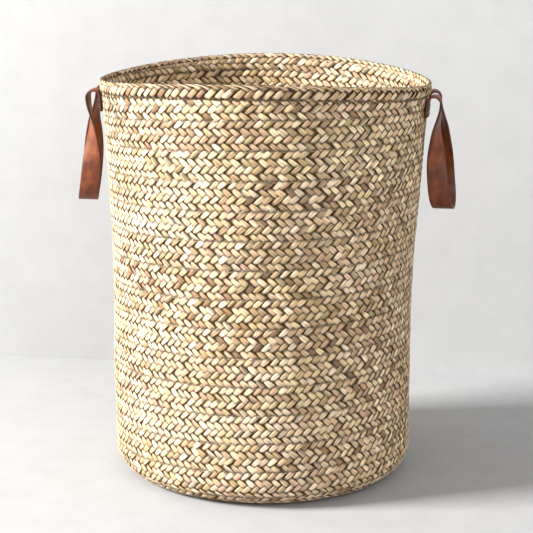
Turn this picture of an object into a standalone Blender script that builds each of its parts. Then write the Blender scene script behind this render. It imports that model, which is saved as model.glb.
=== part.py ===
"""A plaited palm-leaf basket with two leather strap handles. Metres, +Z up, origin under the middle of the base.

The basket is one plait sewn to itself in a spiral: a coil in the base, then a helix up the wall, with a narrow
plait round the rim. Each handle is a strap riveted to the wall at both ends, folded over and hanging as a loop.
The handles are on the X axis.
"""
import math

import bmesh
import bpy
from mathutils import Matrix, Vector

# The basket's shape, measured on its outer face.
rim_height = 0.508
rim_radius = 0.205
body_radius = 0.188
corner_radius = 0.034
flare_start = 0.194
flare_power = 1.47
rim_dip = 0.014
dip_power = 4

# The plait.
turn_count = 18
centre_radius = 0.035
plait_thickness = 0.0034
rim_plait_width = 0.0165
rim_plait_thickness = 0.0062
rim_stand_out = 0.002
cord_radius = 0.0009
taper_tip = 0.007

# The strap handles.
strap_width = 0.025
strap_thickness = 0.0028
tab_below = 0.0100
tab_above = 0.0075
tab_corner = 0.004
fold_room = 0.0094
tab_spacing = 0.062
fold_radius = 0.0078
loop_drop = 0.133
loop_toe = 0.17
loop_kick = 0.008
bend_share = 0.86
twist_length = 0.110
toe_length = 0.040
pad_thickness = 0.002

# The rivets.
rivet_spacing = 0.009
shank_radius = 0.0016
shank_end = 0.0005
head_radius = 0.0038
head_height = 0.0016
burr_radius = 0.0036
burr_thickness = 0.0009

# Fits.
clearance = 0.0003
segments = 36
round_sides = 8

base_radius = body_radius - corner_radius
corner_length = corner_radius * math.pi / 2
seam_gap = 2 * cord_radius + 2 * clearance
wall_start = base_radius + corner_length
wall_top = wall_start + rim_height - corner_radius - rim_plait_width - seam_gap
pitch = (wall_top + seam_gap - centre_radius) / turn_count
flare = rim_radius - rim_stand_out - body_radius
step = 2 * math.pi / segments
facet_sag = rim_radius * (1 - math.cos(step / 2))

# The plait starts where its last seam but one passes between the rivets of the right handle.
tab_drop = rim_plait_width + tab_above + fold_room
tab_along = wall_start + rim_height - tab_drop - corner_radius
plait_start = -2 * math.pi * (tab_along + seam_gap / 2 - centre_radius) / pitch

# Heights above and below the outer face at a strap end, along its rivets.
tab_rest = clearance
tab_top = tab_rest + strap_thickness
pad_rest = plait_thickness + clearance + facet_sag + strap_width ** 2 / 8 / rim_radius
pad_back = pad_rest + pad_thickness
burr_back = pad_back + clearance + burr_thickness


def clear_scene():
    for item in list(bpy.data.objects):
        bpy.data.objects.remove(item, do_unlink=True)


def make_material(name, colour, roughness, metallic=0.0):
    material = bpy.data.materials.new(name)
    material.use_nodes = True
    shader = material.node_tree.nodes["Principled BSDF"]
    shader.inputs["Base Color"].default_value = (*colour, 1)
    shader.inputs["Roughness"].default_value = roughness
    shader.inputs["Metallic"].default_value = metallic
    material.diffuse_color = (*colour, 1)
    return material


def add_object(name, mesh, material, place=None):
    item = bpy.data.objects.new(name, mesh)
    bpy.context.collection.objects.link(item)
    mesh.materials.append(material)
    if place is not None:
        item.matrix_world = place
    return item


def finish_mesh(name, points, faces):
    """One closed mesh with its faces pointing out."""
    mesh = bpy.data.meshes.new(name)
    mesh.from_pydata([tuple(point) for point in points], [], faces)
    shape = bmesh.new()
    shape.from_mesh(mesh)
    bmesh.ops.recalc_face_normals(shape, faces=shape.faces)
    shape.to_mesh(mesh)
    shape.free()
    return mesh


def loft(name, rings):
    """A solid through rings of points that all have the same count, closed at both ends."""
    count = len(rings[0])
    points = [point for ring in rings for point in ring]
    faces = []
    for low in range(0, count * (len(rings) - 1), count):
        for side in range(count):
            ahead = (side + 1) % count
            faces.append((low + side, low + ahead, low + count + ahead, low + count + side))
    faces.append(tuple(range(count)))
    faces.append(tuple(range(len(points) - count, len(points))))
    return finish_mesh(name, points, faces)


def closed_loft(name, rings):
    """A ring-shaped solid: the last ring joins the first."""
    count = len(rings[0])
    total = count * len(rings)
    points = [point for ring in rings for point in ring]
    faces = []
    for low in range(0, total, count):
        for side in range(count):
            ahead = (side + 1) % count
            high = (low + count) % total
            faces.append((low + side, low + ahead, high + ahead, high + side))
    return finish_mesh(name, points, faces)


def profile(along, depth):
    """Radius and height of a point by its distance along the outer face from the middle, and its depth under it."""
    if along <= base_radius:
        return along, depth
    if along <= wall_start:
        turn = (along - base_radius) / corner_radius
        inner = corner_radius - depth
        return base_radius + inner * math.sin(turn), corner_radius - inner * math.cos(turn)
    height = corner_radius + along - wall_start
    share = max(0.0, (height - flare_start) / (rim_height - flare_start))
    lean = flare * share ** flare_power
    slope = flare * flare_power * share ** (flare_power - 1) / (rim_height - flare_start)
    tilt = math.atan(slope)
    return body_radius + lean - depth * math.cos(tilt), height + depth * math.sin(tilt)


def wall_point(along, depth, azimuth):
    """A point of the basket. The rim dips towards the handles."""
    radius, height = profile(along, depth)
    dip = rim_dip * math.cos(azimuth) ** 2 * (max(height, 0) / rim_height) ** dip_power
    return Vector((radius * math.cos(azimuth), radius * math.sin(azimuth), height - dip))


def along_at(height):
    """The distance along the outer face at a height above the corner, before the dip."""
    return wall_start + height - corner_radius


def seam_low(azimuth):
    """Where the plait's lower edge is, at an angle counted from its start."""
    return centre_radius + pitch * azimuth / (2 * math.pi)


def add_turn(number, material):
    """One turn of the plait. The last one keeps under the rim and tapers to its end."""
    name = f"plait_turn_{number:02d}"
    first = 2 * math.pi * (number - 1)
    middle = profile(seam_low(first + math.pi), 0)[0]
    trim = clearance / 2 / middle
    last = first + 2 * math.pi
    if number == turn_count:
        last = 2 * math.pi * (wall_top - taper_tip - centre_radius) / pitch
    low_edge = seam_low(first)
    high_edge = seam_low(last) + pitch
    across = 4 if low_edge < wall_start and high_edge > base_radius else 1
    spots = [first + trim]
    spots += [first + step * index for index in range(1, segments) if first + step * (index + 0.4) < last]
    spots.append(last - trim)
    rings = []
    for spot in spots:
        low = seam_low(spot)
        high = min(low + pitch - seam_gap, wall_top)
        edges = [low + (high - low) * index / across for index in range(across + 1)]
        ring = [wall_point(edge, 0, spot + plait_start) for edge in edges]
        ring += [wall_point(edge, plait_thickness, spot + plait_start) for edge in reversed(edges)]
        rings.append(ring)
    return add_object(name, loft(name, rings), material)


def add_centre(material):
    """The coil that the plait starts with: a flat disc whose edge is the spiral's first turn."""
    trim = clearance / 2 / (centre_radius + pitch / 2)
    spots = [trim] + [step * index for index in range(1, segments)] + [2 * math.pi - trim]
    lower = [wall_point(seam_low(spot) - seam_gap, 0, spot + plait_start) for spot in spots]
    upper = [wall_point(seam_low(spot) - seam_gap, plait_thickness, spot + plait_start) for spot in spots]
    return add_object("plait_centre", loft("plait_centre", [lower, upper]), material)


def add_rim(material):
    """The narrow level plait on top of the last turn."""
    low = along_at(rim_height - rim_plait_width)
    high = along_at(rim_height)
    outer = -rim_stand_out
    inner = outer + rim_plait_thickness
    rings = []
    for index in range(segments):
        azimuth = plait_start + step * index
        corners = ((low, outer), (high, outer), (high, inner), (low, inner))
        rings.append([wall_point(along, depth, azimuth) for along, depth in corners])
    return add_object("rim_plait", closed_loft("rim_plait", rings), material)


def cord_ring(along, azimuth):
    """Three points round the cord, in the middle of the seam."""
    ring = []
    for corner in range(3):
        angle = 2 * math.pi * corner / 3
        depth = plait_thickness / 2 + cord_radius * math.cos(angle)
        ring.append(wall_point(along + cord_radius * math.sin(angle), depth, azimuth))
    return ring


def add_cords(material):
    total = int(segments * (wall_top - taper_tip - centre_radius) / pitch)
    spots = [step * index for index in range(1, total)]
    rings = [cord_ring(seam_low(spot) - seam_gap / 2, spot + plait_start) for spot in spots]
    add_object("sewing_cord", loft("sewing_cord", rings), material)
    level = wall_top + seam_gap / 2
    rings = [cord_ring(level, step * index + plait_start) for index in range(segments)]
    add_object("rim_cord", closed_loft("rim_cord", rings), material)


def tab_place(side, end):
    """The frame of a strap end: X along the wall, Y up it and Z out of it, from the outer face between the rivets."""
    azimuth = end * math.asin(tab_spacing / 2 / rim_radius)
    if side < 0:
        azimuth = math.pi - azimuth
    above = wall_point(tab_along + rivet_spacing / 2, 0, azimuth)
    below = wall_point(tab_along - rivet_spacing / 2, 0, azimuth)
    up = (above - below).normalized()
    across = Vector((-math.sin(azimuth), math.cos(azimuth), 0))
    place = Matrix((across, up, across.cross(up))).transposed().to_4x4()
    place.translation = (above + below) / 2
    return place


def strap_end_outline(width, low, high, corner):
    """An upright rectangle with rounded lower corners."""
    points = [(width / 2, high), (-width / 2, high)]
    for side, start in ((-1, math.pi), (1, 1.5 * math.pi)):
        centre = Vector((side * (width / 2 - corner), low + corner))
        for index in range(3):
            angle = start + math.pi / 4 * index
            points.append((centre.x + corner * math.cos(angle), centre.y + corner * math.sin(angle)))
    return points


def add_plate(name, outline, low, high, material, place):
    rings = [[Vector((x, y, level)) for x, y in outline] for level in (low, high)]
    return add_object(name, loft(name, rings), material, place)


def lathe(name, outline):
    """A solid turned about Z from (radius, height) points, both ends on the axis."""
    shape = bmesh.new()
    corners = [shape.verts.new((radius, 0, height)) for radius, height in outline]
    edges = [shape.edges.new(pair) for pair in zip(corners, corners[1:])]
    bmesh.ops.spin(shape, geom=corners + edges, axis=(0, 0, 1), cent=(0, 0, 0), angle=2 * math.pi,
                   steps=round_sides, use_merge=True)
    bmesh.ops.remove_doubles(shape, verts=shape.verts, dist=0.00001)
    bmesh.ops.recalc_face_normals(shape, faces=shape.faces)
    mesh = bpy.data.meshes.new(name)
    shape.to_mesh(mesh)
    shape.free()
    mesh.shade_smooth()
    mesh.set_sharp_from_angle(angle=math.radians(35))
    return mesh


def washer(name, inner, outer, low, high):
    rings = []
    for index in range(round_sides):
        angle = 2 * math.pi * index / round_sides
        corners = ((inner, low), (outer, low), (outer, high), (inner, high))
        rings.append([Vector((radius * math.cos(angle), radius * math.sin(angle), level))
                      for radius, level in corners])
    return closed_loft(name, rings)


def cut(item, cutter):
    modifier = item.modifiers.new("rivet_holes", "BOOLEAN")
    modifier.operation = "DIFFERENCE"
    modifier.solver = "EXACT"
    modifier.object = cutter


def strap_section(centre, width_way, thick_way):
    """Four corners of the strap round a point."""
    wide = width_way.normalized() * strap_width / 2
    thick = thick_way.normalized() * strap_thickness / 2
    return [centre - wide - thick, centre + wide - thick, centre + wide + thick, centre - wide + thick]


def add_fold(name, place, pivot, side, material):
    """The half round of strap from the top of a tab over to the arm of the loop."""
    steps = 8
    wall_out = place.col[2].to_3d()
    upward = Vector((0, 0, 1))
    rings = []
    for index in range(steps + 1):
        share = index / steps
        angle = math.pi * share
        away = Vector((wall_out.x, wall_out.y, 0)).normalized().lerp(Vector((side, 0, 0)), share).normalized()
        centre = Vector((pivot.x - side * fold_radius * math.cos(angle), place.translation.y, pivot.z))
        centre.z += fold_radius * math.sin(angle)
        rings.append(strap_section(centre, away.cross(upward), upward * math.sin(angle) - away * math.cos(angle)))
    return add_object(name, loft(name, rings), material)


def loop_station(side, reach, travel, straight, bend):
    """The loop's middle line at a distance along it, its direction, and how far it has twisted there."""
    total = 2 * straight + math.pi * bend
    nearest = min(travel, total - travel)
    hand = -1 if travel * 2 < total else 1
    if nearest < straight:
        inward = (reach - bend) / straight
        across = hand * (reach - inward * nearest)
        drop = nearest
        way = Vector((0, inward, -1)) if hand < 0 else Vector((0, inward, 1))
    else:
        angle = (travel - straight) / bend
        across = -bend * math.cos(angle)
        drop = straight + bend * math.sin(angle)
        way = Vector((0, math.sin(angle), -math.cos(angle)))
    share = min(1.0, drop / twist_length)
    ease = share * share * (3 - 2 * share)
    toe = min(1.0, drop / toe_length)
    lean = fold_radius + loop_toe * across * toe * toe * (3 - 2 * toe) + loop_kick * (drop / loop_drop) ** 3
    return Vector((side * lean, across, -drop)), way.normalized(), ease, hand


def add_loop(name, side, pivot, reach, material):
    """The hanging loop. Its arms start flat to the wall and twist a quarter turn to the bend at the bottom."""
    steps = 36
    bend = bend_share * reach
    straight = loop_drop - bend
    total = 2 * straight + math.pi * bend
    rings = []
    for index in range(steps + 1):
        travel = total * index / steps
        centre, way, ease, hand = loop_station(side, reach, travel, straight, bend)
        if index in (0, steps):
            centre.z -= clearance
            way = Vector((0, 0, hand))
        out = Vector((side, 0, 0))
        flat = Vector((0, -hand, 0))
        wide = out if ease > 0.999 else flat * math.cos(ease * math.pi / 2) + out * math.sin(ease * math.pi / 2)
        wide = wide - way * wide.dot(way)
        rings.append(strap_section(centre, wide, way.cross(wide)))
    item = add_object(name, loft(name, rings), material)
    item.location = pivot
    return item


def add_hole_cutters(places):
    """Rods through the rivet holes. They are guides and not part of the object."""
    shape = bmesh.new()
    length = tab_top + burr_back
    for place in places:
        for height in (-rivet_spacing / 2, rivet_spacing / 2):
            middle = place @ Matrix.Translation((0, height, tab_top - length / 2))
            bmesh.ops.create_cone(shape, cap_ends=True, segments=round_sides, radius1=shank_radius + clearance,
                                  radius2=shank_radius + clearance, depth=length + 2 * head_radius,
                                  matrix=middle)
    mesh = bpy.data.meshes.new("rivet_hole_guides")
    shape.to_mesh(mesh)
    shape.free()
    item = bpy.data.objects.new("rivet_hole_guides", mesh)
    bpy.context.collection.objects.link(item)
    item.hide_render = True
    item.display_type = "WIRE"
    return item


def add_rivets(label, place, metal):
    crown = tab_top + clearance
    head = [(0, crown + head_height), (head_radius * 0.55, crown + head_height * 0.85),
            (head_radius * 0.9, crown + head_height * 0.45), (head_radius, crown)]
    shank = [(shank_radius, crown), (shank_radius, -burr_back - shank_end), (0, -burr_back - shank_end)]
    rivet = lathe("rivet", head + shank)
    burr = washer("burr", shank_radius + clearance, burr_radius, -burr_back, -burr_back + burr_thickness)
    rivet.materials.append(metal)
    burr.materials.append(metal)
    for row, height in (("low", -rivet_spacing / 2), ("high", rivet_spacing / 2)):
        for kind, mesh in (("rivet", rivet), ("burr", burr)):
            item = bpy.data.objects.new(f"{kind}_{label}_{row}", mesh)
            bpy.context.collection.objects.link(item)
            item.matrix_world = place @ Matrix.Translation((0, height, 0))


def add_handle(side, leather, metal, cutters):
    hand = "right" if side > 0 else "left"
    outline = strap_end_outline(strap_width, -tab_below, tab_above, tab_corner)
    for end, label in ((-1, "front"), (1, "back")):
        place = tab_place(side, end)
        tab = add_plate(f"tab_{hand}_{label}", outline, tab_rest, tab_top, leather, place)
        pad = add_plate(f"pad_{hand}_{label}", outline, -pad_back, -pad_rest, leather, place)
        cut(tab, cutters)
        cut(pad, cutters)
        lean = math.acos(min(1.0, place.col[1].z))
        above = tab_above + clearance + strap_thickness / 2 * math.tan(lean)
        top = place @ Vector((0, above, tab_rest + strap_thickness / 2))
        pivot = Vector((top.x + side * fold_radius, 0, top.z))
        add_fold(f"fold_{hand}_{label}", place, pivot, side, leather)
        add_rivets(f"{hand}_{label}", place, metal)
    add_loop(f"handle_loop_{hand}", side, pivot, place.translation.y, leather)
    print(f"hinge {hand}", [round(value, 5) for value in pivot])


def build():
    clear_scene()
    palm = make_material("palm_leaf", (0.62, 0.50, 0.30), 0.7)
    cord = make_material("palm_cord", (0.50, 0.38, 0.22), 0.85)
    leather = make_material("saddle_leather", (0.36, 0.13, 0.05), 0.55)
    metal = make_material("rivet_steel", (0.60, 0.57, 0.53), 0.35, 1.0)
    cutters = add_hole_cutters([tab_place(side, end) for side in (-1, 1) for end in (-1, 1)])
    add_centre(palm)
    for number in range(1, turn_count + 1):
        turn = add_turn(number, palm)
        reaches = seam_low(2 * math.pi * (number + 1)) > tab_along - rivet_spacing
        if reaches:
            cut(turn, cutters)
    add_rim(palm)
    add_cords(cord)
    for side in (-1, 1):
        add_handle(side, leather, metal, cutters)


build()
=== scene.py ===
import math

import bmesh
import bpy
import numpy as np
from mathutils import Euler, Matrix, Vector


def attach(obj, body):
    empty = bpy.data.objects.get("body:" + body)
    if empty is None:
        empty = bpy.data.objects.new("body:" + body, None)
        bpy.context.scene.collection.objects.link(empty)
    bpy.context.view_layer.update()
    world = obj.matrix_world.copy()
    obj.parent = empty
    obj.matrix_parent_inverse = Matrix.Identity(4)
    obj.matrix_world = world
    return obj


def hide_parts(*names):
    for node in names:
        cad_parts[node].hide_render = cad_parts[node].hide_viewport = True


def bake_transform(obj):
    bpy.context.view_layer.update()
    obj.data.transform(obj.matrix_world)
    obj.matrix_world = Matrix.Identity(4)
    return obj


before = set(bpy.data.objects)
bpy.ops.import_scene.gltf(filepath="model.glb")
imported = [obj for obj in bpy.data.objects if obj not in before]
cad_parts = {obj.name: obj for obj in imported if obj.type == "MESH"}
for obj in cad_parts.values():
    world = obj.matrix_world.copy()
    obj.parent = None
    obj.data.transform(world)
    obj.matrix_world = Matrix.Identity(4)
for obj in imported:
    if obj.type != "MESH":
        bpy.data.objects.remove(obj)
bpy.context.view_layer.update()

draw = np.random.default_rng(11)
print("frame loaded:", len(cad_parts), "nodes")

cameraSetup = {"distance": 2.0, "height": 0.700, "turn": 6.0, "pitch": 12.5, "lens": 109.35,
               "aimRight": 0.0016, "roll": 0.0081}
lightSetup = {"keyPlace": (-4.55, -1.55, 2.75), "keyAim": (0.0, 0.0, 0.25),
              "keySize": 1.50, "keyPower": 880.0,
              "keyColour": (1.0, 0.99, 0.975),
              "fillPlace": (1.5, -2.2, 1.3), "fillSize": 2.2, "fillPower": 32.0,
              "skyColour": (1.0, 0.99, 0.975), "skyStrength": 0.70}
roomSetup = {"wallBehind": 0.44, "half": 6.0, "wallHeight": 5.0, "markLow": 0.955, "markHigh": 1.03,
             "floorColour": (0.365, 0.366, 0.370),
             "wallColour": (0.425, 0.427, 0.430)}


def addCamera():
    turn = math.radians(cameraSetup["turn"])
    data = bpy.data.cameras.new("camera")
    data.lens = cameraSetup["lens"]
    data.sensor_width = 36
    item = bpy.data.objects.new("camera", data)
    bpy.context.scene.collection.objects.link(item)
    item.location = (cameraSetup["distance"] * math.sin(turn), -cameraSetup["distance"] * math.cos(turn),
                     cameraSetup["height"])
    tilt = math.pi / 2 - math.radians(cameraSetup["pitch"])
    look = Euler((tilt, 0, turn - cameraSetup["aimRight"])).to_matrix()
    item.rotation_euler = (look @ Matrix.Rotation(cameraSetup["roll"], 3, "Z")).to_euler()
    bpy.context.scene.camera = item


def addAreaLight(name, place, aim, size, power, colour):
    data = bpy.data.lights.new(name, "AREA")
    data.shape = "SQUARE"
    data.size = size
    data.energy = power
    data.color = colour
    item = bpy.data.objects.new(name, data)
    bpy.context.scene.collection.objects.link(item)
    item.location = place
    item.rotation_euler = (Vector(aim) - Vector(place)).to_track_quat("-Z", "Y").to_euler()
    item.visible_camera = False


def addLights():
    addAreaLight("keyLight", lightSetup["keyPlace"], lightSetup["keyAim"], lightSetup["keySize"],
                 lightSetup["keyPower"], lightSetup["keyColour"])
    addAreaLight("fillLight", lightSetup["fillPlace"], (0, 0, 0.25), lightSetup["fillSize"],
                 lightSetup["fillPower"], (1, 1, 1))
    world = bpy.data.worlds.new("softSky")
    bpy.context.scene.world = world
    world.use_nodes = True
    background = world.node_tree.nodes["Background"]
    background.inputs["Color"].default_value = (*lightSetup["skyColour"], 1)
    background.inputs["Strength"].default_value = lightSetup["skyStrength"]


class Wire:
    # a node's output, so that maths on it is written as an expression
    def __init__(self, tree, output):
        self.tree = tree
        self.output = output

    def combine(self, operation, first, second):
        node = self.tree.nodes.new("ShaderNodeMath")
        node.operation = operation
        for socket, item in zip(node.inputs, (first, second)):
            if isinstance(item, Wire):
                self.tree.links.new(item.output, socket)
            else:
                socket.default_value = item
        return Wire(self.tree, node.outputs[0])

    def __add__(self, other):
        return self.combine("ADD", self, other)

    def __radd__(self, other):
        return self.combine("ADD", other, self)

    def __sub__(self, other):
        return self.combine("SUBTRACT", self, other)

    def __rsub__(self, other):
        return self.combine("SUBTRACT", other, self)

    def __mul__(self, other):
        return self.combine("MULTIPLY", self, other)

    def __rmul__(self, other):
        return self.combine("MULTIPLY", other, self)

    def __pow__(self, other):
        return self.combine("POWER", self, other)


class Finish:
    # a material with one shader, and a method that adds any other node
    def __init__(self, name, **constants):
        self.material = bpy.data.materials.new(name)
        self.material.use_nodes = True
        self.tree = self.material.node_tree
        self.shader = self.tree.nodes["Principled BSDF"]
        for socket, value in constants.items():
            self.shader.inputs[socket.replace("_", " ")].default_value = value

    def node(self, kind, settings=None, sockets=None, output=0):
        node = self.tree.nodes.new(kind)
        for key, value in (settings or {}).items():
            if key == "stops":
                ramp = node.color_ramp
                while len(ramp.elements) < len(value):
                    ramp.elements.new(0.5)
                for element, (position, colour) in zip(ramp.elements, value):
                    element.position = position
                    element.color = colour if len(colour) == 4 else (*colour, 1)
            else:
                setattr(node, key, value)
        for key, value in (sockets or {}).items():
            if isinstance(value, Wire):
                self.tree.links.new(value.output, node.inputs[key])
            else:
                node.inputs[key].default_value = value
        return Wire(self.tree, node.outputs[output])

    def noise(self, vector, scale, detail=3.0, roughness=0.55, output=0):
        return self.node("ShaderNodeTexNoise", {"noise_dimensions": "3D"},
                         {"Vector": vector, "Scale": scale, "Detail": detail, "Roughness": roughness}, output)

    def ramp(self, fac, stops):
        return self.node("ShaderNodeValToRGB", {"stops": stops}, {"Fac": fac})

    def range(self, value, low, high, start=0.0, end=1.0):
        return self.node("ShaderNodeMapRange", {"interpolation_type": "SMOOTHSTEP"},
                         {"Value": value, "From Min": low, "From Max": high, "To Min": start, "To Max": end})

    def mix(self, fac, first, second, blend="MIX"):
        return self.node("ShaderNodeMix", {"data_type": "RGBA", "blend_type": blend},
                         {0: fac, 6: first, 7: second}, 2)

    def mapping(self, vector, scale, place=(0, 0, 0)):
        return self.node("ShaderNodeMapping", None, {"Vector": vector, "Scale": scale, "Location": place})

    def feed(self, socket, wire):
        self.tree.links.new(wire.output, self.shader.inputs[socket])


leafLook = {"fibreScale": (34.0, 3.4, 1.0), "streakScale": (9.0, 1.7, 1.0), "edgeShade": 0.15,
            "roughness": (0.44, 0.66), "splitShare": 0.14, "fibreBump": 0.00016}
leatherLook = {"colour": (0.090, 0.019, 0.006), "worn": (0.230, 0.062, 0.017), "dark": (0.028, 0.007, 0.003),
               "grainScale": 900.0, "poreBump": 0.00010}
steelLook = {"colour": (0.60, 0.57, 0.52), "roughness": 0.30}


def leafMaterial(name):
    look = Finish(name, Specular_IOR_Level=0.5)
    uv = look.node("ShaderNodeUVMap", {"uv_map": "leafMap"})
    # the leaves' colour attribute holds each leaf's tone with painted shade where it dives; its alpha marks
    # split leaves
    own = look.node("ShaderNodeAttribute", {"attribute_name": "leafColour"})
    place = look.node("ShaderNodeTexCoord", output=3)
    fibres = look.noise(look.mapping(uv, leafLook["fibreScale"]), 6.0, 3.0, 0.6)
    streaks = look.noise(look.mapping(uv, leafLook["streakScale"]), 3.0, 3.0, 0.55)
    blotches = look.noise(place, 16.0, 3.0, 0.5)
    across = look.node("ShaderNodeMath", {"operation": "FRACT"}, {0: look.node("ShaderNodeSeparateXYZ", None,
                                                                             {"Vector": uv}, 1)})
    creased = look.node("ShaderNodeAttribute", {"attribute_name": "leafColour"}, output=3)
    # leaf lightness: long streaks, fine fibres and slow blotches
    shade = look.range(streaks, 0.32, 0.68, 0.62, 1.15) * look.range(fibres, 0.25, 0.75, 0.78, 1.12)
    shade = shade * look.range(blotches, 0.30, 0.70, 0.88, 1.08)
    # painted shade: each leaf is darkened towards its edges, as in the cracks between leaves; split leaves are
    # also darker along their crease
    edge = look.range((across - 0.5) * (across - 0.5) * 4.0, 0.74, 1.0, 1.0, leafLook["edgeShade"])
    crease = creased * look.range((across - 0.36) * (across - 0.36), 0.0008, 0.005, 1.0, 0.0)
    edge = edge * (1.0 - crease * 0.55)
    warm = look.node("ShaderNodeCombineColor", None,
                     {0: shade * edge, 1: shade ** 1.2 * edge, 2: shade ** 1.7 * edge})
    tinted = look.mix(1.0, own, warm, "MULTIPLY")
    patches = look.noise(look.mapping(uv, (12.0, 0.9, 1.0), (3.1, 7.7, 0)), 2.2, 2.0, 0.5)
    stain = look.range(patches, 0.60, 0.78)
    tinted = look.mix(stain * 0.55, tinted, (0.30, 0.165, 0.075, 1), "MIX")
    look.feed("Base Color", tinted)
    look.feed("Roughness", look.range(fibres, 0.2, 0.8, leafLook["roughness"][0], leafLook["roughness"][1]))
    height = fibres * 0.7 + streaks * 0.6 - crease * 1.5
    look.feed("Normal", look.node("ShaderNodeBump", None,
                                  {"Strength": 0.9, "Distance": leafLook["fibreBump"], "Height": height}))
    return look.material


def cordMaterial():
    look = Finish("palmCord", Roughness=0.85, Specular_IOR_Level=0.2)
    uv = look.node("ShaderNodeUVMap", {"uv_map": "leafMap"})
    twist = look.node("ShaderNodeTexWave", {"wave_type": "BANDS", "bands_direction": "DIAGONAL"},
                      {"Vector": look.mapping(uv, (260.0, 1.6, 1.0)), "Scale": 1.0,
                       "Distortion": 1.5, "Detail": 2.0})
    look.feed("Base Color", look.ramp(twist, [(0.0, (0.10, 0.06, 0.03)), (0.6, (0.33, 0.22, 0.11)),
                                             (1.0, (0.46, 0.33, 0.18))]))
    look.feed("Normal", look.node("ShaderNodeBump", None,
                                  {"Strength": 0.8, "Distance": 0.0003, "Height": twist}))
    return look.material


def leatherMaterial():
    look = Finish("saddleLeather", Specular_IOR_Level=0.35)
    uv = look.node("ShaderNodeUVMap", {"uv_map": "leafMap"})
    edge = look.node("ShaderNodeAttribute", {"attribute_name": "strapEdge"}, output=2)
    bend = look.node("ShaderNodeAttribute", {"attribute_name": "strapBend"}, output=2)
    grain = look.node("ShaderNodeTexVoronoi", {"feature": "SMOOTH_F1"},
                      {"Vector": uv, "Scale": leatherLook["grainScale"], "Smoothness": 0.6})
    pull = look.noise(look.mapping(uv, (1.0, 1.6, 1.0)), 42.0, 4.0, 0.6)
    fine = look.noise(look.mapping(uv, (1.0, 2.5, 1.0)), 330.0, 3.0, 0.6)
    base = look.mix(look.range(pull, 0.30, 0.72), (*leatherLook["colour"], 1), (*leatherLook["worn"], 1))
    base = look.mix(look.range(fine, 0.50, 0.80) * 0.35, base, (*leatherLook["dark"], 1))
    base = look.mix(edge * 0.75, base, (*leatherLook["dark"], 1))
    base = look.mix(bend * look.range(pull, 0.35, 0.65, 0.15, 0.60), base, (*leatherLook["worn"], 1))
    look.feed("Base Color", base)
    look.feed("Roughness", look.range(pull, 0.3, 0.7, 0.40, 0.58) + edge * -0.10)
    height = grain * 0.8 + fine * 0.5 + pull * 1.2
    look.feed("Normal", look.node("ShaderNodeBump", None,
                                  {"Strength": 0.7, "Distance": leatherLook["poreBump"], "Height": height}))
    return look.material


def steelMaterial():
    look = Finish("dullNickel", Metallic=1.0)
    place = look.node("ShaderNodeTexCoord", output=3)
    scuffs = look.noise(place, 700.0, 4.0, 0.6)
    tarnish = look.noise(place, 260.0, 2.0, 0.5)
    colour = look.mix(look.range(tarnish, 0.45, 0.75) * 0.6, (*steelLook["colour"], 1), (0.34, 0.27, 0.19, 1))
    look.feed("Base Color", colour)
    polished = steelLook["roughness"]
    look.feed("Roughness", look.range(scuffs, 0.3, 0.7, polished - 0.06, polished + 0.16))
    look.feed("Normal", look.node("ShaderNodeBump", None,
                                  {"Strength": 0.25, "Distance": 0.00008, "Height": scuffs}))
    return look.material


def roomMaterial(name, colour, oneSided=False):
    look = Finish(name, Roughness=0.9, Specular_IOR_Level=0.1)
    place = look.node("ShaderNodeTexCoord", output=3)
    marks = look.noise(place, 22.0, 6.0, 0.62) * 0.6 + look.noise(place, 3.0, 3.0, 0.5) * 0.4
    tone = look.range(marks, 0.32, 0.68, roomSetup["markLow"], roomSetup["markHigh"])
    look.feed("Base Color", look.mix(1.0, (*colour, 1), look.node(
        "ShaderNodeCombineColor", None, {0: tone, 1: tone, 2: tone}), "MULTIPLY"))
    if oneSided:
        # seen from behind, the backdrop is clear
        back = look.node("ShaderNodeNewGeometry", output=6)
        clear = look.node("ShaderNodeBsdfTransparent")
        paint = Wire(look.tree, look.shader.outputs[0])
        shown = look.node("ShaderNodeMixShader", None, {0: back, 1: paint, 2: clear})
        look.tree.links.new(shown.output, look.tree.nodes["Material Output"].inputs["Surface"])
    return look.material


def addRoom():
    half = roomSetup["half"]
    for name, tall in (("floor", False), ("backdrop", True)):
        bpy.ops.mesh.primitive_plane_add(size=2 * half)
        item = bpy.context.object
        item.name = name
        if tall:
            move = Matrix.Translation((0, roomSetup["wallBehind"], roomSetup["wallHeight"] / 2))
            item.data.transform(move @ Matrix.Rotation(math.pi / 2, 4, "X")
                                @ Matrix.Diagonal((1, roomSetup["wallHeight"] / 2 / half, 1, 1)))
        colour = roomSetup["wallColour" if tall else "floorColour"]
        item.data.materials.append(roomMaterial(name + "Paint", colour, tall))


def makePiece(name, points, faces, material, uv=None, colours=None, values=None):
    mesh = bpy.data.meshes.new(name)
    mesh.from_pydata(points.reshape(-1, 3), [], faces)
    if uv is not None:
        corner = np.asarray(faces).ravel()
        mesh.uv_layers.new(name="leafMap").data.foreach_set("uv", uv.reshape(-1, 2)[corner].ravel())
    if colours is not None:
        attribute = mesh.attributes.new("leafColour", "FLOAT_COLOR", "POINT")
        attribute.data.foreach_set("color", colours.reshape(-1, 4).astype(np.float32).ravel())
    for key, value in (values or {}).items():
        attribute = mesh.attributes.new(key, "FLOAT", "POINT")
        attribute.data.foreach_set("value", value.astype(np.float32).ravel())
    mesh.shade_smooth()
    mesh.materials.append(material)
    item = bpy.data.objects.new(name, mesh)
    bpy.context.scene.collection.objects.link(item)
    return item


def tubeFaces(runs, rings, around, closed=False):
    # quads of several tubes of points laid out as [run][ring][round it]; the open ends are left open
    base = np.arange(runs)[:, None, None] * rings * around
    last = rings if closed else rings - 1
    ring = np.arange(last)[None, :, None] * around
    side = np.arange(around)[None, None, :]
    ahead = (side + 1) % around
    nextRing = (ring + around) % (rings * around)
    quads = np.stack([base + ring + side, base + ring + ahead,
                      base + nextRing + ahead, base + nextRing + side], -1)
    return quads.reshape(-1, 4)


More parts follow.
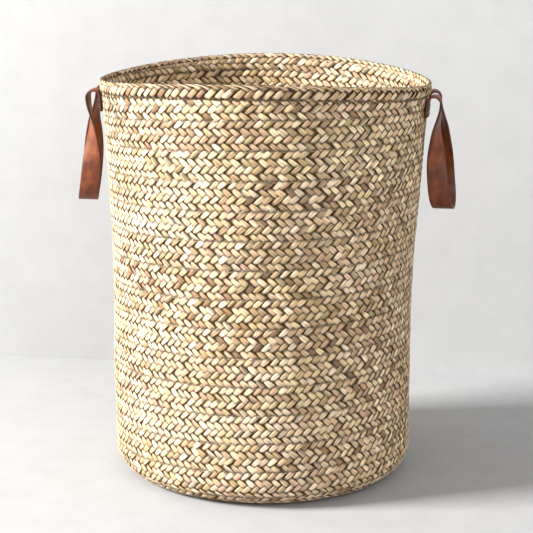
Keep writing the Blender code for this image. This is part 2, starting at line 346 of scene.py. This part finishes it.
basketShape = {"rimHeight": 0.508, "rimRadius": 0.205, "bodyRadius": 0.188, "cornerRadius": 0.034,
               "flareStart": 0.194, "flarePower": 1.47, "rimDip": 0.014, "dipPower": 4, "rimStandOut": 0.002,
               "lowest": 0.0004}
plaitShape = {"turns": 18, "centreRadius": 0.035, "thickness": 0.0034, "rimWidth": 0.0165,
              "seamGap": 0.0024, "taperTip": 0.007, "cordRadius": 0.0009}
strapShape = {"width": 0.025, "thickness": 0.0028, "tabBelow": 0.0100, "tabAbove": 0.0075, "tabCorner": 0.004,
              "foldRoom": 0.0094, "tabSpacing": 0.062, "foldRadius": 0.0078,
              "loopDrop": 0.133, "loopToe": 0.17,
              "loopKick": 0.008, "toeLength": 0.040, "bendShare": 0.86, "twistLength": 0.110,
              "padThickness": 0.002, "rivetSpacing": 0.009,
              "rest": 0.0003, "edgeRound": 0.0009}
rivetShape = {"headRadius": 0.0038, "shankRadius": 0.0016, "burrRadius": 0.0036,
              "burrThickness": 0.0009, "shankEnd": 0.0005}
baseRadius = basketShape["bodyRadius"] - basketShape["cornerRadius"]
wallStart = baseRadius + basketShape["cornerRadius"] * math.pi / 2
wallTop = (wallStart + basketShape["rimHeight"] - basketShape["cornerRadius"]
           - plaitShape["rimWidth"] - plaitShape["seamGap"])
pitch = (wallTop + plaitShape["seamGap"] - plaitShape["centreRadius"]) / plaitShape["turns"]
tabDrop = plaitShape["rimWidth"] + strapShape["tabAbove"] + strapShape["foldRoom"]
tabAlong = wallStart + basketShape["rimHeight"] - tabDrop - basketShape["cornerRadius"]
plaitStart = -2 * math.pi * (tabAlong + plaitShape["seamGap"] / 2 - plaitShape["centreRadius"]) / pitch


def profile(along, depth):
    # radius and height by distance along the outer face from the middle, and depth under it
    along, depth = np.broadcast_arrays(np.asarray(along, float), np.asarray(depth, float))
    corner = basketShape["cornerRadius"]
    turn = np.clip((along - baseRadius) / corner, 0, math.pi / 2)
    inner = corner - depth
    radius = np.where(along > baseRadius, baseRadius + inner * np.sin(turn), along)
    height = np.where(along > baseRadius, corner - inner * np.cos(turn), depth)
    level = corner + along - wallStart
    reach = basketShape["rimHeight"] - basketShape["flareStart"]
    flare = basketShape["rimRadius"] - basketShape["rimStandOut"] - basketShape["bodyRadius"]
    share = np.clip((level - basketShape["flareStart"]) / reach, 0, None)
    tilt = np.arctan(flare * basketShape["flarePower"] * share ** (basketShape["flarePower"] - 1) / reach)
    onWall = along > wallStart
    radius = np.where(onWall, basketShape["bodyRadius"] + flare * share ** basketShape["flarePower"]
                      - depth * np.cos(tilt), radius)
    height = np.where(onWall, level + depth * np.sin(tilt), height)
    return radius, height


def wallPoints(along, depth, azimuth, wavering=1.0):
    # hand work wavers a little, but not where the straps are riveted on
    azimuth = np.asarray(azimuth, float)
    nearStrap = np.exp(-(np.sin(azimuth) / 0.32) ** 2) * np.clip((along - 0.50) / 0.08, 0, 1)
    waver = (0.0009 * np.sin(3 * azimuth + 1.1 + 9 * along) + 0.0007 * np.sin(5 * azimuth - 2.0 + 17 * along)
             + 0.0004 * np.sin(9 * azimuth + 0.4 - 31 * along)) * np.clip((along - 0.15) / 0.12, 0, 1)
    radius, height = profile(along, depth - wavering * waver * (1 - nearStrap))
    share = np.clip(height, 0, None) / basketShape["rimHeight"]
    dip = basketShape["rimDip"] * np.cos(azimuth) ** 2 * share ** basketShape["dipPower"]
    raised = np.maximum(height - dip, basketShape["lowest"])
    return np.stack([radius * np.cos(azimuth), radius * np.sin(azimuth), raised], -1)


def seamLow(angle):
    # the plait's lower edge, at an angle counted from its start
    return plaitShape["centreRadius"] + pitch * angle / (2 * math.pi)


# the dive shade entry is painted shade: how dark a leaf is made where it dives under the next
leafShape = {"spacing": 0.0101, "perTurn": 117, "levels": 8, "width": 1.03, "lift": 0.00104,
             "halfThick": 0.00042,
             "steep": 2.8, "seamDip": 0.00030, "rowShift": 2.0, "tuckUnderRim": 0.0125, "tuckDepth": 0.0024,
             "sideJitter": 0.075, "slit": 0.38, "slitReach": 0.50, "slitLevels": (2, 6),
             "tilt": 0.24, "swing": 0.016,
             "paintedDiveShade": 0.07}
leafTones = [(0.36, (0.86, 0.69, 0.47)), (0.30, (0.74, 0.545, 0.345)), (0.15, (0.56, 0.385, 0.22)),
             (0.10, (0.68, 0.445, 0.31)), (0.05, (0.50, 0.395, 0.215)), (0.04, (0.33, 0.195, 0.10))]
crossSpots = np.array([-1.0, -0.76, 0.76, 1.0, 0.76, -0.76])
crossRise = np.array([0.0, 1.0, 1.0, 0.0, -1.0, -1.0])


def leafPalette(chains, leaves):
    # one tone for each leaf of each strand of the plait
    weights = np.array([weight for weight, colour in leafTones])
    picks = draw.choice(len(leafTones), size=(chains, leaves), p=weights / weights.sum())
    table = np.array([colour for weight, colour in leafTones])[picks]
    table = table * draw.uniform(0.86, 1.10, (chains, leaves, 1))
    table[..., 2] *= draw.uniform(0.90, 1.12, (chains, leaves))
    return table


def runRings(levels):
    # where a leaf is measured along its run: close together where it dives, with one ring on each float
    spots = [-0.5, -0.25, 0.0, 0.22, 0.46]
    for even in range(2, levels, 2):
        spots += [even - 1.0, even - 0.42, even - 0.15, even + 0.15, even + 0.42]
    spots += [levels - 1.0, levels - 0.46, levels - 0.22, levels, levels + 0.25, levels + 0.5]
    return np.array(spots)


def squareWave(level):
    wave = np.tanh(leafShape["steep"] * np.sin(math.pi * level / 2))
    return wave / math.tanh(leafShape["steep"])


def slitWidth(rings):
    # the leaves draw in where a row opens to the left, and leave a slit
    near = sum(np.exp(-((rings - spot) / leafShape["slitReach"]) ** 2) for spot in leafShape["slitLevels"])
    return 1 - leafShape["slit"] * near


def leafRuns(starts, way, levels, rowShift, width, widthAt=None, foldOver=False, capLevel=None):
    # side, level and lift of every point of straight leaf runs; way is 1 for runs that climb to the right
    count = len(starts)
    rings = runRings(levels)
    jitter = draw.normal(0, leafShape["sideJitter"], count)
    half = width * draw.uniform(0.80, 1.05, count) / 2
    skewShare = np.clip(np.minimum(rings + 0.5, levels + 0.5 - rings) / 0.9, 0, 1)
    across = crossSpots[None, None, :] * half[:, None, None] * np.ones((1, len(rings), 1))
    if widthAt is not None:
        across = across * widthAt(rings)[None, :, None]
    level = rings[None, :, None] - way * across * skewShare[None, :, None]
    level = np.clip(level, -0.5, levels + 0.5)
    if capLevel is not None:
        for _ in range(2):
            side = starts[:, None, None] + way * 0.5 * level + across
            level = np.minimum(level, capLevel(side))
    swing = draw.normal(0, leafShape["swing"], count)[:, None, None] * (level - levels / 2)
    side = starts[:, None, None] + jitter[:, None, None] + way * 0.5 * level + across + swing
    phase = level + way * across
    wave = squareWave(phase + rowShift)
    if foldOver:
        # the upper tips turn over the edge from one face to the other
        over = np.clip((level - (levels - 0.55)) / 1.05, 0, 1)
        flat = squareWave(np.minimum(phase, levels - 0.45) + rowShift)
        wave = np.where(over > 0, flat * np.sqrt(1 - over ** 2), wave)
    hidden = np.clip((np.minimum(level, (99 if foldOver else levels) - level) + 0.30) / 0.6, 0, 1)
    hidden = 0.22 + 0.78 * hidden * hidden * (3 - 2 * hidden)
    lift = way * wave * hidden * (1 + draw.normal(0, 0.05, count)[:, None, None])
    lift = lift + draw.normal(0, 0.05, count)[:, None, None]
    tilt = draw.normal(0, leafShape["tilt"], count)[:, None, None]
    lift = lift + tilt * crossSpots[None, None, :] * np.abs(wave)
    return side, level, lift, rings


def leafFinish(starts, rings, lift, chain, mid, palette, leafLength):
    # colours by strand and leaf, darkened with painted shade where a leaf dives, and a map along and across
    # each leaf
    chains = palette.shape[0]
    leaf = ((mid + chain * 37.0) / leafLength).astype(int) % palette.shape[1]
    tone = palette[chain % chains, leaf] * draw.uniform(0.90, 1.08, (len(starts), 1))
    # painted shade: each leaf is darkened where it dives under the next, as the cracks of the plait are shaded
    clear = np.clip((np.abs(lift) - 0.40) / 0.50, 0, 1)
    shade = leafShape["paintedDiveShade"] + (1 - leafShape["paintedDiveShade"]) * clear * clear * (3 - 2 * clear)
    colours = np.ones((*lift.shape, 4))
    colours[..., :3] = tone[:, None, None, :] * shade[..., None]
    colours[..., 3] = (draw.random(len(starts)) < leafLook["splitShare"])[:, None, None]
    uv = np.zeros((*lift.shape, 2))
    offset = draw.uniform(0, 40, len(starts))
    uv[..., 0] = offset[:, None, None] + rings[None, :, None] * 0.0067
    # a face that ends at a whole number would wrap round, so the map keeps just inside its strip
    uv[..., 1] = 0.5 + crossSpots[None, None, :] * 0.495 + draw.integers(0, 30, len(starts))[:, None, None]
    return colours, uv


turnAngles = np.linspace(-4 * math.pi, 2 * math.pi * plaitShape["turns"] + 2, 6000)
middleRadius = np.maximum(profile(np.maximum(seamLow(turnAngles) + pitch / 2, 0.004), 0)[0], 0.016)
spacingRate = np.minimum(middleRadius / leafShape["spacing"], leafShape["perTurn"] / (2 * math.pi))
sideTable = np.concatenate([[0], np.cumsum((spacingRate[1:] + spacingRate[:-1]) / 2 * np.diff(turnAngles))])
sideTable -= np.interp(0, turnAngles, sideTable)


def angleAt(side):
    return np.interp(side, sideTable, turnAngles)


def sideAt(angle):
    return np.interp(angle, turnAngles, sideTable)


def wallCap(side):
    # the last turn runs on behind the rim, so its leaves stop there
    room = wallTop + leafShape["tuckUnderRim"] - seamLow(angleAt(side))
    return np.clip(room / pitch * leafShape["levels"], -0.5, 99)


def addPlaitTurn(name, first, last, node, material, palette):
    levels = leafShape["levels"]
    low, high = sideAt(first), sideAt(last)
    allPoints, allColours, allUv, allFaces, offset = [], [], [], [], 0
    capped = seamLow(last) + pitch > wallTop
    for way in (1, -1):
        shift = 0.0 if way > 0 else 0.5
        starts = np.arange(math.floor(low - way * levels / 4), math.ceil(high - way * levels / 4) + 1) + shift
        mid = starts + way * levels / 4
        keep = (mid >= low) & (mid < high)
        if capped:
            keep &= wallCap(starts) > 0.7
        starts, mid = starts[keep], mid[keep]
        chain = (starts if way > 0 else starts - levels - 0.5).astype(int) % (levels + 1)
        side, level, lift, rings = leafRuns(starts, way, levels, leafShape["rowShift"], leafShape["width"],
                                            slitWidth, capLevel=wallCap if capped else None)
        angle = angleAt(side)
        along = seamLow(angle) + level / levels * pitch
        nearSeam = np.exp(-(np.minimum(np.abs(level), np.abs(level - levels)) / 0.8) ** 2)
        uneven = draw.uniform(0.85, 1.1, len(starts))[:, None, None]
        thick = leafShape["halfThick"] * crossRise[None, None, :] * uneven
        depth = plaitShape["thickness"] / 2 - leafShape["lift"] * lift - thick
        depth = depth + leafShape["seamDip"] * nearSeam
        tucked = np.clip((along - wallTop + 0.002) / 0.004, 0, 1)
        depth = depth + leafShape["tuckDepth"] * tucked * tucked * (3 - 2 * tucked)
        points = wallPoints(np.maximum(along, 0.0015), depth, angle + plaitStart)
        colours, uv = leafFinish(starts, rings, lift, chain, mid, palette, 23.0)
        faces = tubeFaces(len(starts), len(rings), len(crossSpots))
        allFaces.append(faces + offset)
        offset += points.size // 3
        allPoints.append(points.reshape(-1, 3))
        allColours.append(colours.reshape(-1, 4))
        allUv.append(uv.reshape(-1, 2))
    item = makePiece(name, np.concatenate(allPoints), np.concatenate(allFaces), material,
                     np.concatenate(allUv), np.concatenate(allColours))
    closeLeaves(item.data, capped or first < 0)
    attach(item, "basket")
    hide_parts(node)
    return item


def closeLeaves(mesh, mend):
    # cap the leaf ends and face everything outwards
    shape = bmesh.new()
    shape.from_mesh(mesh)
    if mend:
        bmesh.ops.remove_doubles(shape, verts=shape.verts, dist=0.000004)
        bmesh.ops.dissolve_degenerate(shape, edges=shape.edges, dist=0.000002)
    openEdges = [edge for edge in shape.edges if edge.is_boundary]
    bmesh.ops.holes_fill(shape, edges=openEdges, sides=8)
    bmesh.ops.recalc_face_normals(shape, faces=shape.faces)
    for face in shape.faces:
        face.smooth = True
    shape.to_mesh(mesh)
    shape.free()


# the dark sheet in the middle of the plait is painted shade; this is its shape and colour
shadeSheetShape = {"start": 0.020, "rise": 0.0128, "halfThick": 0.00016, "alongSteps": 90, "roundSteps": 108,
             "rimDepth": 0.0014, "colour": (0.085, 0.048, 0.022)}


def addPaintedShadeSheet():
    # a dark sheet in the middle of the plait, which a real plait doesn't have: painted shade, seen only as
    # dark slits between the leaves
    alongs = np.linspace(shadeSheetShape["start"], wallTop + plaitShape["seamGap"] + shadeSheetShape["rise"],
                         shadeSheetShape["alongSteps"])
    turns = np.arange(shadeSheetShape["roundSteps"]) * 2 * math.pi / shadeSheetShape["roundSteps"]
    share = np.clip((alongs - wallTop) / 0.004, 0, 1)
    middle = plaitShape["thickness"] / 2 + (shadeSheetShape["rimDepth"] - plaitShape["thickness"] / 2) * share
    section = np.concatenate([alongs, alongs[::-1]])
    depth = np.concatenate([middle - shadeSheetShape["halfThick"], middle[::-1] + shadeSheetShape["halfThick"]])
    points = wallPoints(section[None, :], depth[None, :], turns[:, None])
    look = Finish("paintedShadeSheetFinish", Specular_IOR_Level=0.1)
    place = look.node("ShaderNodeTexCoord", output=3)
    tone = look.range(look.noise(place, 420.0, 2.0, 0.5), 0.3, 0.7, 0.45, 1.3)
    look.feed("Base Color", look.mix(1.0, (*shadeSheetShape["colour"], 1), look.node(
        "ShaderNodeCombineColor", None, {0: tone, 1: tone, 2: tone}), "MULTIPLY"))
    look.feed("Roughness", look.range(tone, 0.4, 1.3, 0.95, 0.8))
    item = makePiece("paintedShadeSheet", points, tubeFaces(1, len(turns), len(section), True), look.material)
    closeLeaves(item.data, False)
    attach(item, "basket")
    print("shaded core made")


def addBody(material):
    palette = leafPalette(9, 97)
    addPlaitTurn("plaitCentre", -2.6 * math.pi, 0, "plait_centre", material, palette)
    for number in range(1, plaitShape["turns"] + 1):
        last = 2 * math.pi * number
        if number == plaitShape["turns"]:
            last = 2 * math.pi * (number + 0.25)
        addPlaitTurn(f"plaitTurn{number:02d}", 2 * math.pi * (number - 1), last, f"plait_turn_{number:02d}",
                     material, palette)
    print("plaited body made")


rimLeaf = {"levels": 4, "width": 0.90, "lift": 0.00205, "halfThick": 0.00062, "topWidth": 0.84, "sweep": 0.45,
           "middleDepth": 0.0011, "levelSpots": (-0.5, 0.0, 2.0, 3.0, 4.0, 4.5),
           "heights": (-0.0008, 0.0, 0.0104, 0.0138, 0.0156, 0.0159)}


def addRim(material):
    levels = rimLeaf["levels"]
    low = wallTop + plaitShape["seamGap"]
    palette = leafPalette(5, 9)
    total = leafShape["perTurn"]
    parts, offset = [], 0

    def widthAt(rings):
        share = np.clip((rings - 1.5) / 2.0, 0, 1)
        return 1 + (rimLeaf["topWidth"] - 1) * share

    for way in (1, -1):
        starts = np.arange(total) + (0.0 if way > 0 else 0.5)
        side, level, lift, rings = leafRuns(starts, way, levels, 0.0, rimLeaf["width"], widthAt, True)
        bent = np.clip((level - 2.2) / 2.3, 0, 1)
        side = side - rimLeaf["sweep"] * bent ** 2
        along = low + np.interp(level, rimLeaf["levelSpots"], rimLeaf["heights"])
        thick = rimLeaf["halfThick"] * crossRise[None, None, :]
        # near the edge the leaf's own thickness points up instead of out
        edge = np.clip((level - levels) / 0.5, 0, 1)
        depth = rimLeaf["middleDepth"] - rimLeaf["lift"] * lift - thick * way * (1 - edge)
        along = along + np.abs(thick) * edge * np.sign(crossRise)[None, None, :]
        azimuth = side * 2 * math.pi / total + plaitStart
        points = wallPoints(along, depth, azimuth)
        chain = (starts if way > 0 else starts - levels - 0.5).astype(int) % 5
        colours, uv = leafFinish(starts, rings, lift, chain, starts, palette, 40.0)
        parts.append((points.reshape(-1, 3), tubeFaces(total, len(rings), len(crossSpots)) + offset,
                      uv.reshape(-1, 2), colours.reshape(-1, 4)))
        offset += points.size // 3
    points, faces, uv, colours = (np.concatenate(group) for group in zip(*parts))
    item = makePiece("rimPlait", points, faces, material, uv, colours)
    closeLeaves(item.data, True)
    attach(item, "basket")
    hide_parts("rim_plait")
    print("rim made")


def addCord(name, node, angles, alongs, closed, material):
    around = 6
    turn = np.arange(around) * 2 * math.pi / around
    radius = plaitShape["cordRadius"]
    depth = plaitShape["thickness"] / 2 + radius * np.cos(turn)[None, :] + 0 * angles[:, None]
    along = alongs[:, None] + radius * np.sin(turn)[None, :]
    points = wallPoints(along, depth, angles[:, None] + plaitStart)
    uv = np.zeros((len(angles), around, 2))
    uv[..., 0] = (np.arange(len(angles)) * 0.02)[:, None]
    uv[..., 1] = (turn / (2 * math.pi))[None, :]
    item = makePiece(name, points, tubeFaces(1, len(angles), around, closed), material, uv)
    closeLeaves(item.data, False)
    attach(item, "basket")
    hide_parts(node)


def addCords(material):
    end = 2 * math.pi * (wallTop - plaitShape["taperTip"] - plaitShape["centreRadius"]) / pitch
    angles = np.arange(2 * math.pi / 36, end - 0.1, 2 * math.pi / 60)
    addCord("sewnCord", "sewing_cord", angles, seamLow(angles) - plaitShape["seamGap"] / 2, False, material)
    angles = np.arange(72) * 2 * math.pi / 72
    addCord("rimCord", "rim_cord", angles, np.full(72, wallTop + plaitShape["seamGap"] / 2), True, material)
    print("cords made")


def wallVector(along, depth, azimuth):
    return Vector(wallPoints(along, depth, azimuth, 0.0).tolist())


def tabPlace(side, end):
    # a strap end's frame: X along the wall, Y up it and Z out of it, from the outer face between the rivets
    azimuth = end * math.asin(strapShape["tabSpacing"] / 2 / basketShape["rimRadius"])
    if side < 0:
        azimuth = math.pi - azimuth
    above = wallVector(tabAlong + strapShape["rivetSpacing"] / 2, 0, azimuth)
    below = wallVector(tabAlong - strapShape["rivetSpacing"] / 2, 0, azimuth)
    up = (above - below).normalized()
    across = Vector((-math.sin(azimuth), math.cos(azimuth), 0))
    place = Matrix((across, up, across.cross(up))).transposed().to_4x4()
    place.translation = (above + below) / 2
    return place


def smooth(share):
    share = min(1.0, max(0.0, share))
    return share * share * (3 - 2 * share)


def loopStation(side, reach, travel, straight, bend):
    total = 2 * straight + math.pi * bend
    nearest = min(travel, total - travel)
    hand = -1 if travel * 2 < total else 1
    if nearest < straight:
        inward = (reach - bend) / straight
        across = hand * (reach - inward * nearest)
        drop = nearest
    else:
        angle = (travel - straight) / bend
        across = -bend * math.cos(angle)
        drop = straight + bend * math.sin(angle)
    ease = smooth(drop / strapShape["twistLength"])
    lean = (strapShape["foldRadius"] + strapShape["loopToe"] * across * smooth(drop / strapShape["toeLength"])
            + strapShape["loopKick"] * (drop / strapShape["loopDrop"]) ** 3)
    return Vector((side * lean, across, -drop)), ease, hand


def strapStations(side):
    # centre, width direction, half width and bend share at each step along the strap
    stations = []
    middle = strapShape["rest"] + strapShape["thickness"] / 2
    length = strapShape["tabBelow"] + strapShape["tabAbove"]
    places = {end: tabPlace(side, end) for end in (-1, 1)}
    half = strapShape["width"] / 2

    def tabPart(end):
        part = []
        corner = strapShape["tabCorner"]
        steps = [0, 0.0003, 0.0009, 0.0018, 0.0029, 0.004] + list(np.linspace(0.006, length, 8))
        for step in steps:
            inset = corner - math.sqrt(max(0.0, corner ** 2 - (corner - min(step, corner)) ** 2))
            centre = places[end] @ Vector((0, step - strapShape["tabBelow"], middle))
            part.append((centre, places[end].col[0].to_3d(), half - inset, 0.0))
        return part

    def foldPart(end):
        place = places[end]
        lean = math.acos(min(1.0, place.col[1].z))
        above = strapShape["tabAbove"] + strapShape["rest"] + strapShape["thickness"] / 2 * math.tan(lean)
        top = place @ Vector((0, above, middle))
        radius = strapShape["foldRadius"]
        pivot = Vector((top.x + side * radius, 0, top.z))
        wallOut = Vector((place.col[2].x, place.col[2].y, 0)).normalized()
        part = []
        for index in range(0, 13):
            share = index / 12
            angle = math.pi * share
            away = wallOut.lerp(Vector((side, 0, 0)), share).normalized()
            centre = Vector((pivot.x - side * radius * math.cos(angle), place.translation.y,
                             pivot.z + radius * math.sin(angle)))
            part.append((centre, Vector((0, 0, 1)).cross(away), half, math.sin(angle)))
        return part, pivot

    frontFold, pivot = foldPart(-1)
    backFold, pivot = foldPart(1)
    reach = places[1].translation.y
    bend = strapShape["bendShare"] * reach
    straight = strapShape["loopDrop"] - bend
    total = 2 * straight + math.pi * bend
    loop = []
    count = 110
    for index in range(1, count):
        centre, ease, hand = loopStation(side, reach, total * index / count, straight, bend)
        out = Vector((side, 0, 0))
        flat = Vector((0, -hand, 0))
        wide = flat * math.cos(ease * math.pi / 2) + out * math.sin(ease * math.pi / 2)
        loop.append((pivot + centre, wide * side, half, 0.35 * math.sin(ease * math.pi)))
    stations += tabPart(-1) + frontFold[1:] + loop
    stations += [(centre, -wide, wideHalf, bent) for centre, wide, wideHalf, bent in
                 reversed(tabPart(1) + backFold[1:])]
    return stations, pivot


def strapOutline(half, thick):
    # a rounded strip section, slightly crowned: across, through, edge share
    corner = min(strapShape["edgeRound"], half * 0.9)
    spots = []
    for across, through, start in ((1, 1, 0), (-1, 1, 90), (-1, -1, 180), (1, -1, 270)):
        for turn in (0, 45, 90):
            angle = math.radians(start + turn)
            towardsFace = 90 if across * through > 0 else 0
            spots.append((across * (half - corner) + corner * math.cos(angle),
                          through * (thick - corner) + corner * math.sin(angle),
                          0.45 if turn == towardsFace else 1.0))
        if across * through > 0:
            for share in (0.55, 0.0, -0.55):
                spots.append((across * share * (half - corner), through * thick * 1.03, 0.0))
    return spots


def addStrap(side, material):
    hand = "right" if side > 0 else "left"
    stations, pivot = strapStations(side)
    centres = [station[0] for station in stations]
    points, uv, edges, bends = [], [], [], []
    travel = 0.0
    for index, (centre, wide, half, bent) in enumerate(stations):
        before = centres[max(index - 1, 0)]
        after = centres[min(index + 1, len(centres) - 1)]
        way = (after - before).normalized()
        wide = (wide - way * wide.dot(way)).normalized()
        thick = wide.cross(way).normalized()
        travel += (centre - before).length
        for across, through, edge in strapOutline(half, strapShape["thickness"] / 2):
            points.append(centre + wide * across + thick * through)
            uv.append((travel, across + (0.05 if through < 0 else 0)))
            edges.append(edge)
            bends.append(bent)
    around = len(strapOutline(0.01, 0.0014))
    faces = tubeFaces(1, len(stations), around)
    item = makePiece("strap" + hand.capitalize(), np.array([tuple(point) for point in points]), faces,
                     material, np.array(uv), None,
                     {"strapEdge": np.array(edges), "strapBend": np.array(bends)})
    closeStrap(item.data)
    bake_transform(item)
    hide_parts("handle_loop_" + hand, *[f"{part}_{hand}_{end}" for part in ("tab", "fold")
                                               for end in ("front", "back")])
    return item


def closeStrap(mesh):
    shape = bmesh.new()
    shape.from_mesh(mesh)
    bmesh.ops.holes_fill(shape, edges=[edge for edge in shape.edges if edge.is_boundary], sides=40)
    bmesh.ops.recalc_face_normals(shape, faces=shape.faces)
    for face in shape.faces:
        face.smooth = len(face.verts) == 4
    shape.to_mesh(mesh)
    shape.free()


def deselectAll():
    if bpy.context.object and bpy.context.object.mode != "OBJECT":
        bpy.ops.object.mode_set(mode="OBJECT")
    bpy.ops.object.select_all(action="DESELECT")


def selectFaces(item, test):
    bpy.ops.object.mode_set(mode="EDIT")
    bpy.ops.mesh.select_mode(type="FACE")
    bpy.ops.mesh.select_all(action="DESELECT")
    shape = bmesh.from_edit_mesh(item.data)
    for face in shape.faces:
        face.select_set(test(face))
    bmesh.update_edit_mesh(item.data)


def applyBevel(item, width, steps, angle=40):
    modifier = item.modifiers.new("edges", "BEVEL")
    modifier.width = width
    modifier.segments = steps
    modifier.limit_method = "ANGLE"
    modifier.angle_limit = math.radians(angle)
    bpy.ops.object.modifier_apply(modifier=modifier.name)


facetSag = basketShape["rimRadius"] * (1 - math.cos(math.pi / 36))  # how far a flat of the ring lies inside it
strapSag = strapShape["width"] ** 2 / 8 / basketShape["rimRadius"]
padRest = plaitShape["thickness"] + strapShape["rest"] + facetSag + strapSag
padBack = padRest + strapShape["padThickness"]
burrBack = padBack + strapShape["rest"] + rivetShape["burrThickness"]
tabTop = strapShape["rest"] + strapShape["thickness"]


def modelRivet():
    # a turned cap on a flange, with its shank through the wall
    deselectAll()
    bpy.ops.mesh.primitive_cylinder_add(vertices=32, radius=rivetShape["headRadius"], depth=0.0006,
                                        location=(0, 0, tabTop + strapShape["rest"] + 0.0003))
    item = bpy.context.object
    bpy.ops.object.transform_apply(location=True)
    selectFaces(item, lambda face: face.normal.z > 0.9)
    for shrink, rise in ((0.80, 0.0), (0.93, 0.00045), (0.82, 0.00035), (0.60, 0.0002), (0.3, 0.00006)):
        bpy.ops.mesh.extrude_region_move(TRANSFORM_OT_translate={"value": (0, 0, rise)})
        bpy.ops.transform.resize(value=(shrink, shrink, 1))
    shank = rivetShape["shankRadius"] / rivetShape["headRadius"]
    selectFaces(item, lambda face: face.normal.z < -0.9)
    bpy.ops.mesh.extrude_region_move(TRANSFORM_OT_translate={"value": (0, 0, 0)})
    bpy.ops.transform.resize(value=(shank, shank, 1))
    bpy.ops.mesh.extrude_region_move(TRANSFORM_OT_translate={"value": (0, 0, -burrBack - tabTop)})
    bpy.ops.mesh.extrude_region_move(TRANSFORM_OT_translate={"value": (0, 0, -rivetShape["shankEnd"])})
    bpy.ops.transform.resize(value=(0.7, 0.7, 1))
    bpy.ops.object.mode_set(mode="OBJECT")
    applyBevel(item, 0.00012, 2)
    bpy.ops.object.shade_smooth_by_angle(angle=math.radians(50))
    return item


def modelBurr():
    deselectAll()
    bpy.ops.mesh.primitive_cylinder_add(vertices=32, radius=rivetShape["burrRadius"],
                                        depth=rivetShape["burrThickness"],
                                        location=(0, 0, -burrBack + rivetShape["burrThickness"] / 2))
    item = bpy.context.object
    bpy.ops.object.transform_apply(location=True)
    hole = (rivetShape["shankRadius"] + 0.00005) / rivetShape["burrRadius"]
    selectFaces(item, lambda face: abs(face.normal.z) > 0.9)
    bpy.ops.mesh.extrude_region_move(TRANSFORM_OT_translate={"value": (0, 0, 0)})
    bpy.ops.transform.resize(value=(hole, hole, 1))
    bpy.ops.mesh.bridge_edge_loops()
    bpy.ops.object.mode_set(mode="OBJECT")
    applyBevel(item, 0.00018, 2)
    bpy.ops.object.shade_smooth_by_angle(angle=math.radians(40))
    return item


def modelPad():
    deselectAll()
    height = strapShape["tabBelow"] + strapShape["tabAbove"]
    middle = (strapShape["tabAbove"] - strapShape["tabBelow"]) / 2
    bpy.ops.mesh.primitive_cube_add(size=1, location=(0, middle, -(padRest + padBack) / 2),
                                    scale=(strapShape["width"], height, strapShape["padThickness"]))
    item = bpy.context.object
    bpy.ops.object.transform_apply(location=True, scale=True)
    bpy.ops.object.mode_set(mode="EDIT")
    bpy.ops.mesh.select_mode(type="EDGE")
    bpy.ops.mesh.select_all(action="DESELECT")
    shape = bmesh.from_edit_mesh(item.data)
    for edge in shape.edges:
        ends = edge.verts
        upright = abs(ends[0].co.z - ends[1].co.z) > 0.0005
        edge.select_set(upright and ends[0].co.y < 0)
    bmesh.update_edit_mesh(item.data)
    bpy.ops.mesh.bevel(offset=strapShape["tabCorner"], segments=6)
    bpy.ops.object.mode_set(mode="OBJECT")
    applyBevel(item, 0.0004, 3)
    bpy.ops.object.shade_smooth_by_angle(angle=math.radians(40))
    return item


def placeCopies(model, kind, node, material, offsets):
    # each copy has its own mesh, already in its place
    for side, hand in ((-1, "left"), (1, "right")):
        for end, label in ((-1, "front"), (1, "back")):
            for row, height in offsets:
                mesh = model.data.copy()
                turn = Matrix.Rotation(draw.uniform(0, 6.28) if len(offsets) > 1 else 0, 4, "Z")
                mesh.transform(tabPlace(side, end) @ Matrix.Translation((0, height, 0)) @ turn)
                name = kind + hand.capitalize() + label.capitalize() + row.capitalize()
                item = bpy.data.objects.new(name, mesh)
                bpy.context.scene.collection.objects.link(item)
                mesh.materials.clear()
                mesh.materials.append(material)
                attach(item, "basket")
                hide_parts(f"{node}_{hand}_{label}" + (f"_{row}" if row else ""))
    bpy.data.objects.remove(model)


def addHandles(leather, steel):
    for side in (-1, 1):
        addStrap(side, leather)
    half = strapShape["rivetSpacing"] / 2
    placeCopies(modelRivet(), "rivet", "rivet", steel, (("low", -half), ("high", half)))
    placeCopies(modelBurr(), "burr", "burr", steel, (("low", -half), ("high", half)))
    pad = modelPad()
    pad.data.uv_layers[0].name = "leafMap"
    placeCopies(pad, "pad", "pad", leather, (("", 0.0),))
    print("straps, rivets and pads made")


bpy.context.scene.view_settings.view_transform = "Standard"
addCamera()
addLights()
addRoom()
leaf = leafMaterial("palmLeaf")
addBody(leaf)
addPaintedShadeSheet()
addRim(leaf)
addCords(cordMaterial())
addHandles(leatherMaterial(), steelMaterial())
